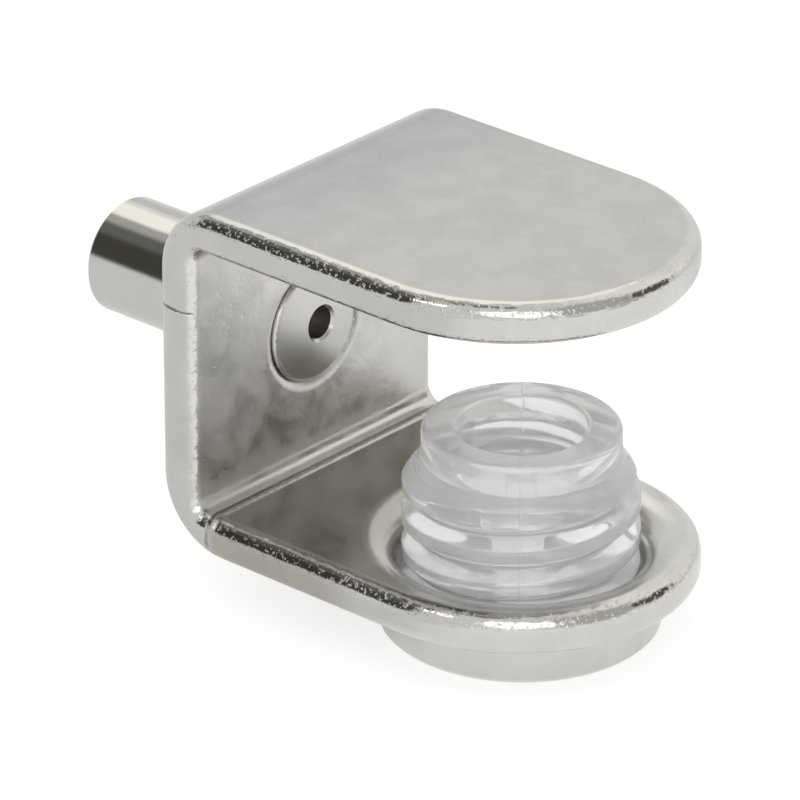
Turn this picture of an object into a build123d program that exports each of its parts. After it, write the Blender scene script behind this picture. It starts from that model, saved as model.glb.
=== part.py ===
import os
from build123d import *

os.makedirs("parts", exist_ok=True)

# Frame: origin on the pin's axis at the back plate's outer face,
# +X from the plate towards the tab ends, +Y across the support, +Z up.

# Bracket: one blank of nickel-plated steel, bent twice, with a nick at the lower bend
width = 15.0
height = 15.3
sheet = 1.8
top_reach = 20.0
bottom_reach = 20.3
top_bend_outer = 2.9
bottom_bend_outer = 3.25
bend_inner = 0.55
outer_edge_round = 0.65
inner_edge_round = 0.7
edge_land = 0.4
nick_radius = 0.6
nick_depth = 0.22
nick_height = 1.15

# Pin: turned, with a shoulder against the plate and a head riveted into a countersink
pin_radius = 2.5
pin_length = 9.0
pin_tip_chamfer = 0.3
neck_radius = 2.0
head_flare = 0.65
head_edge_round = 0.16
countersink_angle = 90
countersink_lip_round = 0.6
head_dome = 0.12
rivet_dimple_radius = 0.7
rivet_dimple_depth = 1.5
rivet_dimple_offset = 0.3
rivet_dimple_chamfer = 0.12

# Collar: drawn down out of the bottom tab and threaded for the screw
collar_offset = 0.25
collar_drop = 2.0
collar_wall = 0.85
mouth_land = 1.05
collar_root_chamfer = 0.35
root_land = 0.05
collar_tip_chamfer = 0.2
collar_bore_chamfer = 0.15

# Clamping screw: moulded in clear plastic, 10 mm thread of 1.5 mm pitch
thread_radius = 4.85
thread_clearance = 0.05
screw_rise = 5.0
screw_recess = 0.2
thread_depth = 0.78
tip_height = 1.25
tip_chamfer = 0.2
thread_start = 1.15
core_radius = 2.7
core_depth = 2.0
core_chamfer = 0.15
slot_width = 1.6
slot_depth = 1.9
slot_angle = -48.4
thread_end_chamfer = 0.4

# Cutters run past a face by the overcut, and edges are found to within the tolerance
overcut = 1.0
tolerance = 1e-4

top_face = height / 2
underside = -height / 2
tab_face = underside + sheet
gap_top = top_face - sheet
collar_bore = thread_radius + thread_clearance
collar_radius = collar_bore + collar_wall
collar_bottom = underside - collar_drop
collar_x = bottom_reach - width / 2 + collar_offset
mouth_radius = width / 2 - mouth_land
draw_radius = mouth_radius - collar_bore
head_radius = neck_radius + head_flare
tip_radius = thread_radius - thread_depth

# A land stays flat between the collar's root and the outer round, and between the two rounds
collar_foot = collar_offset + collar_radius + collar_root_chamfer
outer_round = min(outer_edge_round, width / 2 - collar_foot - root_land)
inner_round = min(inner_edge_round, sheet - outer_round - edge_land)


def bracket_outline(edge):
    """True for an edge of the blank's outline, false for bend lines and edges across the sheet."""
    start = edge @ 0
    end = edge @ 1
    along_y = abs(start.X - end.X) < tolerance and abs(start.Z - end.Z) < tolerance
    tab_end = edge.geom_type == GeomType.CIRCLE and along_y
    across_sheet = abs(start.X - end.X) < tolerance and abs(abs(start.Z - end.Z) - sheet) < tolerance
    return tab_end or not (along_y or across_sheet)


def faces_gap(edge):
    """True for an edge on the bracket's inner side, towards the glass."""
    middle = edge @ 0.5
    return middle.X > sheet - tolerance and abs(middle.Z) < gap_top + tolerance


def circles(part, radius):
    """The part's circular edges of one radius, lowest first."""
    return (
        part.edges()
        .filter_by(lambda edge: edge.geom_type == GeomType.CIRCLE)
        .filter_by(lambda edge: abs(edge.radius - radius) < tolerance)
        .sort_by(Axis.Z)
    )


# Bracket
with BuildPart() as bracket:
    # side view of the bent blank, drawn out to the full width
    with BuildSketch(Plane.XZ):
        with BuildLine():
            Line((top_reach, top_face), (top_bend_outer, top_face))
            RadiusArc(
                (top_bend_outer, top_face),
                (0, top_face - top_bend_outer),
                -top_bend_outer,
            )
            Line((0, top_face - top_bend_outer), (0, underside + bottom_bend_outer))
            RadiusArc(
                (0, underside + bottom_bend_outer),
                (bottom_bend_outer, underside),
                -bottom_bend_outer,
            )
            Line((bottom_bend_outer, underside), (bottom_reach, underside))
            Line((bottom_reach, underside), (bottom_reach, tab_face))
            Line((bottom_reach, tab_face), (sheet + bend_inner, tab_face))
            RadiusArc(
                (sheet + bend_inner, tab_face),
                (sheet, tab_face + bend_inner),
                bend_inner,
            )
            Line((sheet, tab_face + bend_inner), (sheet, gap_top - bend_inner))
            RadiusArc(
                (sheet, gap_top - bend_inner),
                (sheet + bend_inner, gap_top),
                bend_inner,
            )
            Line((sheet + bend_inner, gap_top), (top_reach, gap_top))
            Line((top_reach, gap_top), (top_reach, top_face))
        make_face()
    extrude(amount=width / 2, both=True)

    # both tabs end in a half circle of the full width
    for reach, level in ((top_reach, gap_top), (bottom_reach, underside)):
        end_centre = reach - width / 2
        with BuildSketch(Plane.XY.offset(level)):
            with Locations((end_centre, 0)):
                Rectangle(width, width + overcut, align=(Align.MIN, Align.CENTER))
                Circle(width / 2, mode=Mode.SUBTRACT)
        extrude(amount=sheet, mode=Mode.SUBTRACT)

    # tumbled edges, rounded on both sides of the sheet
    outer = bracket.edges().filter_by(
        lambda edge: bracket_outline(edge) and not faces_gap(edge)
    )
    fillet(outer, radius=outer_round)
    inner = bracket.edges().filter_by(
        lambda edge: bracket_outline(edge) and faces_gap(edge)
    )
    fillet(inner, radius=inner_round)

    # collar wall below the bottom tab
    with BuildSketch(Plane.XY.offset(underside)):
        with Locations((collar_x, 0)):
            Circle(collar_radius)
    extrude(amount=-collar_drop)

    # drawn mouth, an arc that leaves the tab's face smoothly and falls into the bore
    with BuildSketch(Plane.XZ):
        with BuildLine():
            mouth_line = Polyline(
                (collar_x + collar_bore, tab_face - draw_radius),
                (collar_x + collar_bore, collar_bottom - overcut),
                (collar_x, collar_bottom - overcut),
                (collar_x, tab_face + overcut),
                (collar_x + mouth_radius, tab_face + overcut),
                (collar_x + mouth_radius, tab_face),
            )
            RadiusArc(mouth_line @ 1, mouth_line @ 0, -draw_radius)
        make_face()
    revolve(
        axis=Axis((collar_x, 0, 0), (0, 0, 1)),
        revolution_arc=360,
        mode=Mode.SUBTRACT,
    )

    # root web and bevelled tip of the collar's outside
    chamfer(circles(bracket, collar_radius)[-1], length=collar_root_chamfer)
    chamfer(circles(bracket, collar_radius)[0], length=collar_tip_chamfer)
    chamfer(circles(bracket, collar_bore)[0], length=collar_bore_chamfer)

    # countersunk hole for the pin's riveted head
    with Locations(Plane(origin=(sheet, 0, 0), x_dir=(0, 1, 0), z_dir=(1, 0, 0))):
        CounterSinkHole(
            radius=neck_radius,
            counter_sink_radius=head_radius,
            depth=sheet,
            counter_sink_angle=countersink_angle,
        )
    fillet(circles(bracket, head_radius), radius=countersink_lip_round)

    # shallow nick across the sheet at one end of the lower bend
    with BuildSketch(Plane.YZ):
        with Locations((width / 2 + nick_radius - nick_depth, tab_face + nick_height)):
            Circle(nick_radius)
    extrude(amount=sheet, mode=Mode.SUBTRACT)

bracket.part.label = "bracket"
export_step(bracket.part, "parts/bracket.step")


# Pin
with BuildPart() as pin:
    # half section about the pin's axis, from the tip through the plate to the head's face
    countersink_start = sheet - head_flare
    head_top = sheet + head_dome
    dome_radius = (head_radius**2 + head_dome**2) / (2 * head_dome)
    with BuildSketch(Plane.XZ) as half:
        with BuildLine():
            section = Polyline(
                (head_top, 0),
                (-pin_length, 0),
                (-pin_length, pin_radius),
                (0, pin_radius),
                (0, neck_radius),
                (countersink_start, neck_radius),
                (sheet, head_radius),
            )
            RadiusArc(section @ 1, section @ 0, dome_radius)
        make_face()
        head_corner = half.vertices().sort_by(Axis.X)[-2]
        fillet(head_corner, radius=head_edge_round)
    revolve(axis=Axis.X, revolution_arc=360)

    # dimple left by the riveting tool, a little off centre
    with Locations(
        Plane(
            origin=(head_top, rivet_dimple_offset, 0),
            x_dir=(0, 1, 0),
            z_dir=(1, 0, 0),
        )
    ):
        Hole(radius=rivet_dimple_radius, depth=rivet_dimple_depth)
    dimple_wall = pin.faces().filter_by(GeomType.CYLINDER).sort_by(Axis.X)[-1]
    dimple_rim = dimple_wall.edges().sort_by(Axis.X)[-1]
    chamfer(dimple_rim, length=rivet_dimple_chamfer)

    tip = pin.faces().sort_by(Axis.X)[0]
    chamfer(tip.edges(), length=pin_tip_chamfer)

pin.part.label = "pin"
export_step(pin.part, "parts/pin.step")


# Clamping screw
screw_top = tab_face + screw_rise
screw_bottom = collar_bottom + screw_recess
tip_bottom = screw_top - tip_height
full_thread_top = tip_bottom - thread_start

with BuildPart() as screw:
    # plain tip that meets the glass, above the threaded shank
    with BuildSketch(Plane.XZ):
        with BuildLine():
            Polyline(
                (collar_x, screw_top),
                (collar_x + tip_radius, screw_top),
                (collar_x + tip_radius, tip_bottom),
                (collar_x + thread_radius, full_thread_top),
                (collar_x + thread_radius, screw_bottom),
                (collar_x, screw_bottom),
                close=True,
            )
        make_face()
    revolve(axis=Axis((collar_x, 0, 0), (0, 0, 1)), revolution_arc=360)
    chamfer(screw.faces().sort_by(Axis.Z)[-1].edges(), length=tip_chamfer)
    chamfer(screw.faces().sort_by(Axis.Z)[0].edges(), length=thread_end_chamfer)

    # blind hollow in the tip
    with Locations((collar_x, 0, screw_top)):
        Hole(radius=core_radius, depth=core_depth)
    chamfer(circles(screw, core_radius)[-1], length=core_chamfer)

    # driver slot across the lower end, open from below
    with BuildSketch(Plane.XY.offset(screw_bottom)):
        with Locations((collar_x, 0)):
            Rectangle(2 * thread_radius + overcut, slot_width, rotation=slot_angle)
    extrude(amount=slot_depth, mode=Mode.SUBTRACT)

screw.part.label = "screw"
export_step(screw.part, "parts/screw.step")
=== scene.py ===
import math

import bmesh
import bpy
from mathutils import Matrix, Vector


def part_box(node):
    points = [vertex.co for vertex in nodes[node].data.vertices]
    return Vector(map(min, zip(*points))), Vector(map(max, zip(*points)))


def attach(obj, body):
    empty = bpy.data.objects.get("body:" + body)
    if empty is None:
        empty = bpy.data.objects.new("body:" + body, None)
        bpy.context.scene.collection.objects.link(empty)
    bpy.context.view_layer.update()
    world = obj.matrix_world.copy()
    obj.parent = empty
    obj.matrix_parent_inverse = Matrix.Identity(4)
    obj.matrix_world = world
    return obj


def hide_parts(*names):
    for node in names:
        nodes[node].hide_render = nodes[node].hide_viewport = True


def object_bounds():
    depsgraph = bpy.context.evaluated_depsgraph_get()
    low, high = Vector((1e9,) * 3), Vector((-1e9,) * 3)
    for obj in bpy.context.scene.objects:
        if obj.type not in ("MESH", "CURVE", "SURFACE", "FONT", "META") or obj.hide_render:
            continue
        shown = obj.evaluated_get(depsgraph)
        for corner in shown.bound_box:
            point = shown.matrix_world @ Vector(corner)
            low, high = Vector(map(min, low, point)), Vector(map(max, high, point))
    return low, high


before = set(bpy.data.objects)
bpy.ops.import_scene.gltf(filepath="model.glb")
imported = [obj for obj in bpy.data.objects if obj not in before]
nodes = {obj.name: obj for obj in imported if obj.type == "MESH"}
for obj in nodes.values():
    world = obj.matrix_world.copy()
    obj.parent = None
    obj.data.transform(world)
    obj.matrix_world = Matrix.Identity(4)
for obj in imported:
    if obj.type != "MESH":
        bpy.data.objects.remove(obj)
cad_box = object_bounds()
MM = 0.001


# Camera
# A long lens looks down on the support's open side, past the screw, at the back plate. Its
# place and its length are fitted to the outline of the support in the photograph.
view_azimuth = math.radians(41.625)
view_elevation = math.radians(26.022)
view_distance = 279.6 * MM
view_centre = Vector((6.648, -0.173, -1.798)) * MM
towards_camera = Vector((
    math.sin(view_azimuth) * math.cos(view_elevation),
    -math.cos(view_azimuth) * math.cos(view_elevation),
    math.sin(view_elevation),
))
lens = bpy.data.cameras.new("camera")
lens.lens = 308.56
lens.sensor_width = 36
lens.clip_start = 0.01
lens.clip_end = 10
camera = bpy.data.objects.new("camera", lens)
camera.location = view_centre + view_distance * towards_camera
camera.rotation_euler = towards_camera.to_track_quat("Z", "Y").to_euler()
bpy.context.scene.collection.objects.link(camera)
bpy.context.scene.camera = camera
bpy.context.scene.view_settings.view_transform = "Standard"


# Studio
# A white paper table in a tent of pale cloth, with three lights and a few dark gaps in its
# walls, so that bright metal has something to mirror on every side. Only reflections show
# these: the camera, matt surfaces and light through clear plastic see the tent plain white.
def new_node(tree, kind, **values):
    """A shader node with its properties, or its inputs by name, set."""
    node = tree.nodes.new(kind)
    for name, value in values.items():
        if hasattr(node, name):
            setattr(node, name, value)
        else:
            node.inputs[name.replace("_", " ")].default_value = value
    return node


def fill(tree, socket, value):
    """Links a socket to an input, or sets a number, a vector or a colour on it."""
    if isinstance(value, bpy.types.NodeSocket):
        tree.links.new(value, socket)
    else:
        socket.default_value = value


def compute(tree, operation, first, second=0.0):
    """A maths node's result."""
    node = new_node(tree, "ShaderNodeMath", operation=operation)
    fill(tree, node.inputs[0], first)
    fill(tree, node.inputs[1], second)
    return node.outputs[0]


def multiply(tree, first, *others):
    """The product of two or more values."""
    for other in others:
        first = compute(tree, "MULTIPLY", first, other)
    return first


def add(tree, first, *others):
    """The sum of two or more values."""
    for other in others:
        first = compute(tree, "ADD", first, other)
    return first


def measure(tree, operation, first, second=(0, 0, 0)):
    """A vector maths node's result, a number for a dot product or a distance."""
    node = new_node(tree, "ShaderNodeVectorMath", operation=operation)
    fill(tree, node.inputs[0], first)
    fill(tree, node.inputs[1], second)
    return node.outputs["Value" if operation in ("DOT_PRODUCT", "DISTANCE") else "Vector"]


def ramp(tree, value, start, end):
    """A factor that goes smoothly from 0 at the start to 1 at the end, whichever is higher."""
    node = new_node(tree, "ShaderNodeMapRange", interpolation_type="SMOOTHSTEP")
    fill(tree, node.inputs["Value"], value)
    node.inputs["From Min"].default_value = start
    node.inputs["From Max"].default_value = end
    return node.outputs["Result"]


def blend(tree, factor, under, over):
    """One colour laid over another where the factor is 1."""
    node = new_node(tree, "ShaderNodeMix", data_type="RGBA")
    fill(tree, node.inputs["Factor"], factor)
    for socket, colour in ((node.inputs[6], under), (node.inputs[7], over)):
        fill(tree, socket, (*colour, 1) if isinstance(colour, tuple) else colour)
    return node.outputs[2]


def direction(azimuth, elevation):
    """A unit vector; azimuth 0 is towards -Y, 90 towards +X, in degrees."""
    turn, rise = math.radians(azimuth), math.radians(elevation)
    return (
        math.sin(turn) * math.cos(rise), -math.cos(turn) * math.cos(rise), math.sin(rise)
    )


def tent_patch(tree, azimuth, elevation, inner, outer):
    """A factor of 1 within the inner angle of a direction, falling to 0 at the outer one."""
    where = new_node(tree, "ShaderNodeTexCoord")
    nearness = measure(
        tree, "DOT_PRODUCT", where.outputs["Generated"], direction(azimuth, elevation)
    )
    return ramp(tree, nearness, math.cos(math.radians(outer)), math.cos(math.radians(inner)))


world = bpy.data.worlds.new("studio")
world.use_nodes = True
bpy.context.scene.world = world
tent = world.node_tree
tent.nodes.clear()
mirrored_tent = (0.80, 0.80, 0.775)
for azimuth, elevation, inner, outer, colour in (
    # the far wall that the top mirrors, duller and bluer at its foot
    (165, 42, 22, 40, (1.02, 1.01, 0.96)),
    (-150, 20, 14, 40, (0.90, 0.90, 0.885)),
    (-136, 13, 7, 17, (0.70, 0.71, 0.715)),
    # the greyer walls on the open side and on the pin's side
    (95, 34, 22, 38, (0.52, 0.52, 0.50)),
    (-85, 55, 14, 28, (0.50, 0.50, 0.48)),
    # a soft light high up in the far corner
    (-128, 52, 15, 21, (1.30, 1.29, 1.20)),
    # dark gaps overhead and at the near left, which the rounded edges mirror
    (-30, 80, 7, 13, (0.26, 0.26, 0.24)),
    (-50, 40, 15, 24, (0.16, 0.155, 0.14)),
    (-42, 22, 14, 22, (0.07, 0.066, 0.055)),
    # a dark gap at the far right
    (136, 23, 11, 20, (0.12, 0.11, 0.09)),
    # a soft light behind the camera, and a small bright one to the left of it
    (45, 33, 18, 27, (1.75, 1.75, 1.73)),
    (-20, 47, 6, 9, (2.30, 2.30, 2.25)),
):
    patch = tent_patch(tent, azimuth, elevation, inner, outer)
    mirrored_tent = blend(tent, patch, mirrored_tent, colour)
white = (1.0, 1.0, 1.0)
rays = new_node(tent, "ShaderNodeLightPath").outputs
seen_tent = mirrored_tent
for kind in ("Is Transmission Ray", "Is Diffuse Ray", "Is Camera Ray"):
    seen_tent = blend(tent, rays[kind], seen_tent, white)
cloth = new_node(tent, "ShaderNodeBackground")
tent.links.new(seen_tent, cloth.inputs["Color"])
tent_out = new_node(tent, "ShaderNodeOutputWorld")
tent.links.new(cloth.outputs[0], tent_out.inputs["Surface"])

table_level = cad_box[0][2]
table_reach = 3
table_mesh = bpy.data.meshes.new("table")
table_shape = bmesh.new()
bmesh.ops.create_grid(table_shape, x_segments=1, y_segments=1, size=table_reach)
bmesh.ops.translate(table_shape, vec=(0, 0, table_level), verts=table_shape.verts)
table_shape.to_mesh(table_mesh)
table_shape.free()
table = bpy.data.objects.new("table", table_mesh)
bpy.context.scene.collection.objects.link(table)

# grey paper that its own glow lifts to white for the camera, so that it keeps the shadow
table_paper = bpy.data.materials.new("table_paper")
table_paper.use_nodes = True
tree = table_paper.node_tree
paper = tree.nodes["Principled BSDF"]
paper.inputs["Base Color"].default_value = (0.34, 0.335, 0.335, 1)
paper.inputs["Roughness"].default_value = 0.9
paper.inputs["Specular IOR Level"].default_value = 0.0

# metal mirrors a brighter table on the open side than under and behind the support
under_gap = (8 * MM, 0, table_level)
shaded_glow = 0.47
open_glow = 0.22
where = new_node(tree, "ShaderNodeTexCoord")
outward = measure(tree, "SUBTRACT", where.outputs["Object"], under_gap)
outward = measure(tree, "NORMALIZE", outward)
open_side = ramp(tree, measure(tree, "DOT_PRODUCT", outward, direction(90, 0)), 0.0, 0.6)
mirrored_glow = add(tree, multiply(tree, open_side, open_glow), shaded_glow)
rays = new_node(tree, "ShaderNodeLightPath").outputs
strength = 0.0
for kind, share in (
    ("Is Camera Ray", 0.76),
    ("Is Glossy Ray", mirrored_glow),
    ("Is Transmission Ray", 0.66),
):
    strength = add(tree, strength, multiply(tree, rays[kind], share))
glow = new_node(tree, "ShaderNodeEmission")
tree.links.new(strength, glow.inputs["Strength"])
both = new_node(tree, "ShaderNodeAddShader")
tree.links.new(paper.outputs[0], both.inputs[0])
tree.links.new(glow.outputs[0], both.inputs[1])
tree.links.new(both.outputs[0], tree.nodes["Material Output"].inputs["Surface"])
table_mesh.materials.append(table_paper)


# Bracket
# One steel blank, pierced and bent twice, the collar drawn out of it, then tumbled and
# plated with bright nickel. The flat faces came out satin and slightly cloudy, and the
# tumbled edges pebbled.
nickel = (0.645, 0.632, 0.608)
top_nickel = (0.565, 0.575, 0.575)
# lighter nickel for the plate's inner face, a painted reflection
plate_painted_light_nickel = (0.74, 0.725, 0.70)
tab_painted_shade_nickel = (0.48, 0.46, 0.425)
crease_shade_black = (0.16, 0.15, 0.13)
tabs_start = 5 * MM
mouth_rim = 6.4 * MM
mouth_fade = 0.2 * MM
crease_level = 3.15 * MM
crease_sag = -60.0
crease_reach = 2 * MM
crease_shade_strength = 0.75
pressed_line = 2.75 * MM
pressed_half_width = 0.30 * MM
pressed_height = 2.2
face_cloudiness = 0.35
least_cloudiness = 0.15
bracket_relief = 0.035 * MM


def new_group(name, inputs, outputs):
    """A node group: its tree, the values it is given and the sockets of its results."""
    tree = bpy.data.node_groups.new(name, "ShaderNodeTree")
    for socket, kind in inputs.items():
        tree.interface.new_socket(socket, in_out="INPUT", socket_type=kind)
    for socket, kind in outputs.items():
        tree.interface.new_socket(socket, in_out="OUTPUT", socket_type=kind)
    group_in = tree.nodes.new("NodeGroupInput")
    group_out = tree.nodes.new("NodeGroupOutput")
    return tree, group_in.outputs, group_out.inputs


def noise(tree, position, scale, detail, roughness=0.5):
    """Noise of about 0 to 1; the scale is in cells per metre."""
    node = new_node(tree, "ShaderNodeTexNoise", Scale=scale, Detail=detail, Roughness=roughness)
    tree.links.new(position, node.inputs["Vector"])
    return node.outputs["Fac"]


def brighten(tree, colour, factor):
    """A colour made lighter or darker by a factor."""
    node = new_node(tree, "ShaderNodeHueSaturation")
    fill(tree, node.inputs["Color"], colour)
    fill(tree, node.inputs["Value"], factor)
    return node.outputs["Color"]


# satin plating, duller in its cloudy patches, and pebbled and polished on its edges
cloud_grain, swell_grain, pebble_grain = 620, 1700, 6200
cloud_tone = 0.08
clear_roughness = 0.14
cloud_roughness, patch_roughness = 0.08, 0.16
edge_polish = 0.6
dimple_height, pebble_height, swell_middle = 0.8, 0.42, 0.62
number, colour_kind, vector_kind = "NodeSocketFloat", "NodeSocketColor", "NodeSocketVector"
cloudy, given, result = new_group(
    "cloudy_plating",
    {"Position": vector_kind, "Base": colour_kind, "Edge": number, "Cloudiness": number},
    {"Color": colour_kind, "Roughness": number, "Height": number},
)
clouds = noise(cloudy, given["Position"], cloud_grain, 4, 0.6)
patches = ramp(cloudy, clouds, 0.3, 0.7)
tone = multiply(cloudy, compute(cloudy, "SUBTRACT", patches, 0.5), cloud_tone)
cloudy.links.new(brighten(cloudy, given["Base"], add(cloudy, tone, 1.0)), result["Color"])
satin = add(cloudy, multiply(cloudy, patches, patch_roughness), cloud_roughness)
satin = add(cloudy, multiply(cloudy, satin, given["Cloudiness"]), clear_roughness)
polish = compute(cloudy, "SUBTRACT", 1.0, multiply(cloudy, given["Edge"], edge_polish))
cloudy.links.new(multiply(cloudy, satin, polish), result["Roughness"])
dimples = multiply(cloudy, clouds, dimple_height, given["Cloudiness"])
swells = noise(cloudy, given["Position"], swell_grain, 1)
swells = compute(cloudy, "SUBTRACT", swells, swell_middle)
pebbles = ramp(cloudy, noise(cloudy, given["Position"], pebble_grain, 2, 0.6), 0.55, 0.75)
pebbling = add(cloudy, multiply(cloudy, pebbles, pebble_height), swells)
relief = add(cloudy, dimples, multiply(cloudy, pebbling, given["Edge"]))
cloudy.links.new(relief, result["Height"])


def components(tree, vector):
    """A vector's X, Y and Z."""
    node = new_node(tree, "ShaderNodeSeparateXYZ")
    tree.links.new(vector, node.inputs[0])
    return node.outputs


def vector_of(tree, x=0.0, y=0.0, z=0.0):
    """A vector made of its X, Y and Z."""
    node = new_node(tree, "ShaderNodeCombineXYZ")
    for socket, value in zip(node.inputs, (x, y, z)):
        fill(tree, socket, value)
    return node.outputs[0]


def bracket_edges(tree, spot, facing):
    """A factor of 1 on the rounded edges of the blank, 0 on its faces, bends and mouth."""
    # a rounded edge turns from 0 on the blank's side to 1 on its face
    sideways = compute(tree, "POWER", compute(tree, "ABSOLUTE", facing["Y"]), 2.0)
    faceways = compute(tree, "MAXIMUM", compute(tree, "SUBTRACT", 1.0, sideways), 0.0)
    plate_turn = compute(tree, "SQRT", faceways)
    tab_turn = compute(tree, "ABSOLUTE", facing["Z"])
    on_tabs = compute(tree, "GREATER_THAN", spot["X"], tabs_start)
    on_plate = compute(tree, "SUBTRACT", 1.0, on_tabs)
    turn = add(tree, multiply(tree, on_tabs, tab_turn), multiply(tree, on_plate, plate_turn))
    from_axis = measure(
        tree, "DISTANCE", vector_of(tree, spot["X"], spot["Y"]), (screw_axis.x, screw_axis.y, 0)
    )
    return multiply(
        tree,
        ramp(tree, turn, 0.08, 0.22),
        ramp(tree, turn, 0.985, 0.90),
        ramp(tree, from_axis, mouth_rim, mouth_rim + mouth_fade),
    )


def nickel_plate(piece, name, plating):
    """Plates a piece with nickel; returns the tree, shader, coordinates and plating node."""
    material = bpy.data.materials.new(name)
    material.use_nodes = True
    tree = material.node_tree
    shader = tree.nodes["Principled BSDF"]
    shader.inputs["Metallic"].default_value = 1.0
    shader.inputs["Base Color"].default_value = (*nickel, 1)
    where = new_node(tree, "ShaderNodeTexCoord").outputs
    skin = new_node(tree, "ShaderNodeGroup", node_tree=plating)
    tree.links.new(where["Object"], skin.inputs["Position"])
    tree.links.new(skin.outputs["Color"], shader.inputs["Base Color"])
    piece.data.materials.clear()
    piece.data.materials.append(material)
    return tree, shader, where, skin


def raise_surface(tree, shader, height, depth):
    """Feeds a height into the shader as a bump, a height of 1 being the real depth given."""
    bump = new_node(tree, "ShaderNodeBump", Distance=depth)
    fill(tree, bump.inputs["Height"], height)
    tree.links.new(bump.outputs["Normal"], shader.inputs["Normal"])


screw_low, screw_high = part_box("screw")
screw_axis = (screw_low + screw_high) / 2
tree, shader, where, skin = nickel_plate(nodes["bracket"], "bracket_nickel", cloudy)
spot, facing = components(tree, where["Object"]), components(tree, where["Normal"])
tree.links.new(bracket_edges(tree, spot, facing), skin.inputs["Edge"])
inside_plate = multiply(
    tree, ramp(tree, spot["X"], 2.6 * MM, 1.9 * MM), ramp(tree, facing["X"], 0.4, 0.9)
)
below_top = ramp(tree, spot["Z"], 6.8 * MM, 6.0 * MM)
cloudiness = multiply(tree, add(tree, inside_plate, face_cloudiness), below_top)
tree.links.new(add(tree, cloudiness, least_cloudiness), skin.inputs["Cloudiness"])

# a shear mark across the near edge of the plate, level with the top of the pin
# the bump presses the crease in; its dark colour further on is painted shade in the crease
crease_height = multiply(tree, compute(tree, "POWER", spot["X"], 2.0), crease_sag)
crease_height = add(tree, crease_height, crease_level)
off_crease = compute(tree, "ABSOLUTE", compute(tree, "SUBTRACT", spot["Z"], crease_height))
crease = multiply(
    tree,
    ramp(tree, off_crease, 0.08 * MM, 0.02 * MM),
    ramp(tree, spot["Y"], -7.0 * MM, -7.3 * MM),
    compute(tree, "LESS_THAN", spot["X"], crease_reach),
)

# a rough line pressed into the tab along the foot of the lower bend
off_line = compute(tree, "ABSOLUTE", compute(tree, "SUBTRACT", spot["X"], pressed_line))
on_bottom_tab = ramp(tree, spot["Z"], -5.6 * MM, -5.8 * MM)
grit_grain = 3500
grit = add(tree, noise(tree, where["Object"], grit_grain, 2), 0.9)
pressed = multiply(tree, ramp(tree, off_line, pressed_half_width, 0.0), on_bottom_tab, grit)

# the top is a little duller and bluer where it leaves the bend, the plate's inner face is
# painted lighter as a painted reflection, the bottom tab is painted darker and browner near
# its bend as painted shade, and the shear mark is painted dark as shade in its crease
top_by_bend = multiply(
    tree, ramp(tree, spot["Z"], 6.8 * MM, 7.4 * MM), ramp(tree, spot["X"], 8.5 * MM, 3.0 * MM)
)
# painted shade: the bottom tab darker and browner towards its bend
tab_painted_shade = multiply(
    tree,
    ramp(tree, spot["X"], 11 * MM, 8 * MM),
    on_bottom_tab,
    ramp(tree, spot["X"], 2.3 * MM, 3.2 * MM),
)
shade = nickel
for factor, colour in (
    (top_by_bend, top_nickel),
    (inside_plate, plate_painted_light_nickel),
    (tab_painted_shade, tab_painted_shade_nickel),
    (multiply(tree, crease, crease_shade_strength), crease_shade_black),
):
    shade = blend(tree, factor, shade, colour)
tree.links.new(shade, skin.inputs["Base"])
tree.links.new(skin.outputs["Roughness"], shader.inputs["Roughness"])
height = add(tree, skin.outputs["Height"], multiply(tree, pressed, pressed_height))
height = compute(tree, "SUBTRACT", height, crease)
raise_surface(tree, shader, height, bracket_relief)


# Pin
# Turned from steel rod, put through the back plate, riveted over into its countersink, and
# plated bright with the bracket. The shank keeps the lathe's fine rings, and the riveted
# head is duller, with a dimple painted darker as shade in its hollow.
dimple_shade_nickel = (0.50, 0.48, 0.45)
dimple_centre = (0.9 * MM, 0.3 * MM, 0)
dimple_floor = 0.78 * MM
dimple_rim = 1.12 * MM
head_start = 1.5 * MM
film_grain, ring_grain = 450, 9000
film_tone, film_roughness = 0.08, 0.10
shank_roughness, head_roughness, dimple_roughness = 0.06, 0.14, 0.25
ring_height = 0.10
pin_relief = 0.01 * MM

# turned plating, with a faint film over the lathe's rings
turned, given, result = new_group(
    "turned_plating",
    {"Position": vector_kind, "Base": colour_kind},
    {"Color": colour_kind, "Roughness": number, "Height": number},
)
along = components(turned, given["Position"])["X"]
film = noise(turned, given["Position"], film_grain, 4)
haze = add(turned, multiply(turned, film, film_tone), 1 - film_tone / 2)
turned.links.new(brighten(turned, given["Base"], haze), result["Color"])
dullness = add(turned, multiply(turned, film, film_roughness), shank_roughness)
on_head = compute(turned, "GREATER_THAN", along, head_start)
dullness = add(turned, dullness, multiply(turned, on_head, head_roughness))
turned.links.new(dullness, result["Roughness"])
on_shank = compute(turned, "LESS_THAN", along, 0.0)
rings = noise(turned, vector_of(turned, along), ring_grain, 2)
rings = multiply(turned, rings, ring_height, on_shank)
turned.links.new(add(turned, rings, film), result["Height"])

tree, shader, where, skin = nickel_plate(nodes["pin"], "pin_nickel", turned)
from_dimple = measure(tree, "DISTANCE", where["Object"], dimple_centre)
dimple = ramp(tree, from_dimple, dimple_rim, dimple_floor)
# the dimple's darker nickel is painted shade in the hollow
tree.links.new(blend(tree, dimple, nickel, dimple_shade_nickel), skin.inputs["Base"])
dullness = add(tree, skin.outputs["Roughness"], multiply(tree, dimple, dimple_roughness))
tree.links.new(dullness, shader.inputs["Roughness"])
raise_surface(tree, shader, skin.outputs["Height"], pin_relief)


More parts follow.
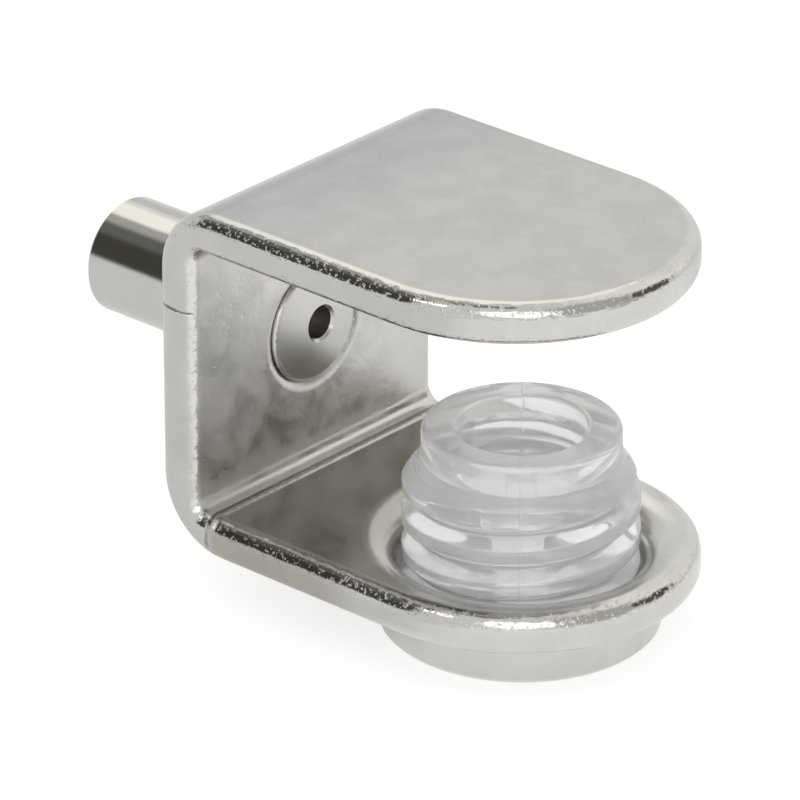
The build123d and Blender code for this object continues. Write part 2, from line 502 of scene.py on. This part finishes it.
# Clamping screw
# Moulded in clear plastic in two halves: a smooth hollow tip above a 10 mm thread of
# 1.5 mm pitch, with a driver slot in its lower end. It is turned up in the collar until
# its tip presses on the glass.
major_radius = (screw_high.x - screw_low.x) / 2
tip_radius = 4.07 * MM
tip_height = 1.25 * MM
thread_start = 1.15 * MM
tip_round = 0.27 * MM
hollow_radius = 2.7 * MM
hollow_depth = 2.0 * MM
hollow_round = 0.2 * MM
end_chamfer = 0.4 * MM
# the thread's flats are shares of its pitch, and a crest crosses the +X side at crest_height
pitch = 1.5 * MM
root_radius = 4.30 * MM
crest_flat = 0.34
root_flat = 0.08
flank_rounding = 0.4
crest_height = -7.218 * MM
slot_width = 1.6 * MM
slot_depth = 1.9 * MM
slot_turn = math.radians(-48.4)
# the mesh's rows along the half section, its steps around, and distances to merge within
around = 160
chamfer_rows = 8
wall_rows = 170
start_rows = 18
round_segments = 5
touching = 1e-7
tolerance = 1e-6
weld = 0.005 * MM
sharp_angle = math.radians(50)
screw_relief = 0.04 * MM

shape = bmesh.new()
half_section = [
    (0, screw_low.z),
    (major_radius - end_chamfer, screw_low.z),
    (major_radius, screw_low.z + end_chamfer),
    (major_radius, screw_high.z - tip_height - thread_start),
    (tip_radius, screw_high.z - tip_height),
    (tip_radius, screw_high.z),
    (hollow_radius, screw_high.z),
    (hollow_radius, screw_high.z - hollow_depth),
    (0, screw_high.z - hollow_depth),
]
corners = [shape.verts.new((r, 0, z)) for r, z in half_section]
sides = [shape.edges.new(pair) for pair in zip(corners, corners[1:])]
for side, rows in zip(sides[1:4], (chamfer_rows, wall_rows, start_rows)):
    bmesh.ops.subdivide_edges(shape, edges=[side], cuts=rows)
for place, radius in zip(half_section[5:8], (tip_round, hollow_round, hollow_round)):
    point = Vector((place[0], 0, place[1]))
    corner = min(shape.verts, key=lambda vert: (vert.co - point).length)
    bmesh.ops.bevel(
        shape, geom=[corner], affect="VERTICES", offset=radius, segments=round_segments,
        profile=0.5, material=-1,
    )
bmesh.ops.spin(
    shape, geom=shape.verts[:] + shape.edges[:], cent=(0, 0, 0), axis=(0, 0, 1),
    angle=2 * math.pi, steps=around, use_merge=True,
)
bmesh.ops.remove_doubles(shape, verts=shape.verts, dist=touching)


def thread_radius(turn, height):
    """The wall's radius on a right-hand thread, at an angle and a height."""
    phase = ((height - crest_height) / pitch - turn / (2 * math.pi)) % 1.0
    from_crest = min(phase, 1 - phase)
    flank = (0.5 - root_flat / 2 - from_crest) / (0.5 - root_flat / 2 - crest_flat / 2)
    flank = min(max(flank, 0), 1)
    rounded = flank * flank * (3 - 2 * flank)
    share = (1 - flank_rounding) * flank + flank_rounding * rounded
    return root_radius + share * (major_radius - root_radius)


# the thread is pressed into the wall, never out of it, so the chamfer and the start taper it
for vert in shape.verts:
    radius = math.hypot(vert.co.x, vert.co.y)
    if radius > tip_radius + tolerance and vert.co.z > screw_low.z + tolerance:
        wanted = min(radius, thread_radius(math.atan2(vert.co.y, vert.co.x), vert.co.z))
        vert.co.x *= wanted / radius
        vert.co.y *= wanted / radius
bmesh.ops.translate(shape, vec=(screw_axis.x, screw_axis.y, 0), verts=shape.verts)
bmesh.ops.recalc_face_normals(shape, faces=shape.faces)
for face in shape.faces:
    face.smooth = True
screw_mesh = bpy.data.meshes.new("screw_body")
shape.to_mesh(screw_mesh)
shape.free()
screw = bpy.data.objects.new("screw_body", screw_mesh)
bpy.context.scene.collection.objects.link(screw)

# the driver slot is cut across the lower end, and the cut's stray slivers are welded away
cutter_shape = bmesh.new()
bmesh.ops.create_cube(cutter_shape, size=1)
bmesh.ops.scale(
    cutter_shape, vec=(4 * major_radius, slot_width, 2 * slot_depth), verts=cutter_shape.verts,
)
bmesh.ops.rotate(
    cutter_shape, cent=(0, 0, 0), matrix=Matrix.Rotation(slot_turn, 3, "Z"),
    verts=cutter_shape.verts,
)
bmesh.ops.translate(
    cutter_shape, vec=(screw_axis.x, screw_axis.y, screw_low.z), verts=cutter_shape.verts,
)
cutter_mesh = bpy.data.meshes.new("slot_cutter")
cutter_shape.to_mesh(cutter_mesh)
cutter_shape.free()
cutter = bpy.data.objects.new("slot_cutter", cutter_mesh)
bpy.context.scene.collection.objects.link(cutter)
slot_cut = screw.modifiers.new("driver_slot", "BOOLEAN")
slot_cut.object = cutter
slot_cut.operation = "DIFFERENCE"
slot_cut.solver = "EXACT"
graph = bpy.context.evaluated_depsgraph_get()
cut_mesh = bpy.data.meshes.new_from_object(screw.evaluated_get(graph))
cut_shape = bmesh.new()
cut_shape.from_mesh(cut_mesh)
bmesh.ops.remove_doubles(cut_shape, verts=cut_shape.verts, dist=weld)
bmesh.ops.dissolve_degenerate(cut_shape, edges=cut_shape.edges, dist=weld)
bmesh.ops.triangulate(cut_shape, faces=cut_shape.faces)
cut_shape.to_mesh(cut_mesh)
cut_shape.free()
screw.modifiers.clear()
screw.data = cut_mesh
bpy.data.objects.remove(cutter)
screw.data.set_sharp_from_angle(angle=sharp_angle)

# moulded plastic, with flow swells, the mould cutter's rings, and a seam between the halves,
# which parted along the mould's azimuth
flow_grain, cutter_grain = 700, 2600
ring_stretch = 0.08
cutter_height, seam_height = 0.20, 0.25
mould_azimuth = 130
moulded, given, result = new_group(
    "moulded_plastic", {"Position": vector_kind}, {"Height": number}
)
from_axis = measure(moulded, "SUBTRACT", given["Position"], (screw_axis.x, screw_axis.y, 0))
from_halves = measure(moulded, "DOT_PRODUCT", from_axis, direction(mould_azimuth, 0))
seam = ramp(moulded, compute(moulded, "ABSOLUTE", from_halves), 0.07 * MM, 0.02 * MM)
flow = noise(moulded, given["Position"], flow_grain, 2)
spot = components(moulded, given["Position"])
stacked = vector_of(
    moulded,
    multiply(moulded, spot["X"], ring_stretch),
    multiply(moulded, spot["Y"], ring_stretch),
    spot["Z"],
)
cutter_rings = noise(moulded, stacked, cutter_grain, 2)
relief = add(moulded, multiply(moulded, cutter_rings, cutter_height), flow)
relief = add(moulded, relief, multiply(moulded, seam, seam_height))
moulded.links.new(relief, result["Height"])

plastic = bpy.data.materials.new("clear_plastic")
plastic.use_nodes = True
tree = plastic.node_tree
shader = tree.nodes["Principled BSDF"]
shader.inputs["Base Color"].default_value = (0.98, 0.98, 0.99, 1)
shader.inputs["Transmission Weight"].default_value = 0.58
shader.inputs["Roughness"].default_value = 0.04
shader.inputs["IOR"].default_value = 1.40
where = new_node(tree, "ShaderNodeTexCoord")
skin = new_node(tree, "ShaderNodeGroup", node_tree=moulded)
tree.links.new(where.outputs["Object"], skin.inputs["Position"])
raise_surface(tree, shader, skin.outputs["Height"], screw_relief)
screw.data.materials.clear()
screw.data.materials.append(plastic)
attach(screw, "clamping_screw")
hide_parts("screw")
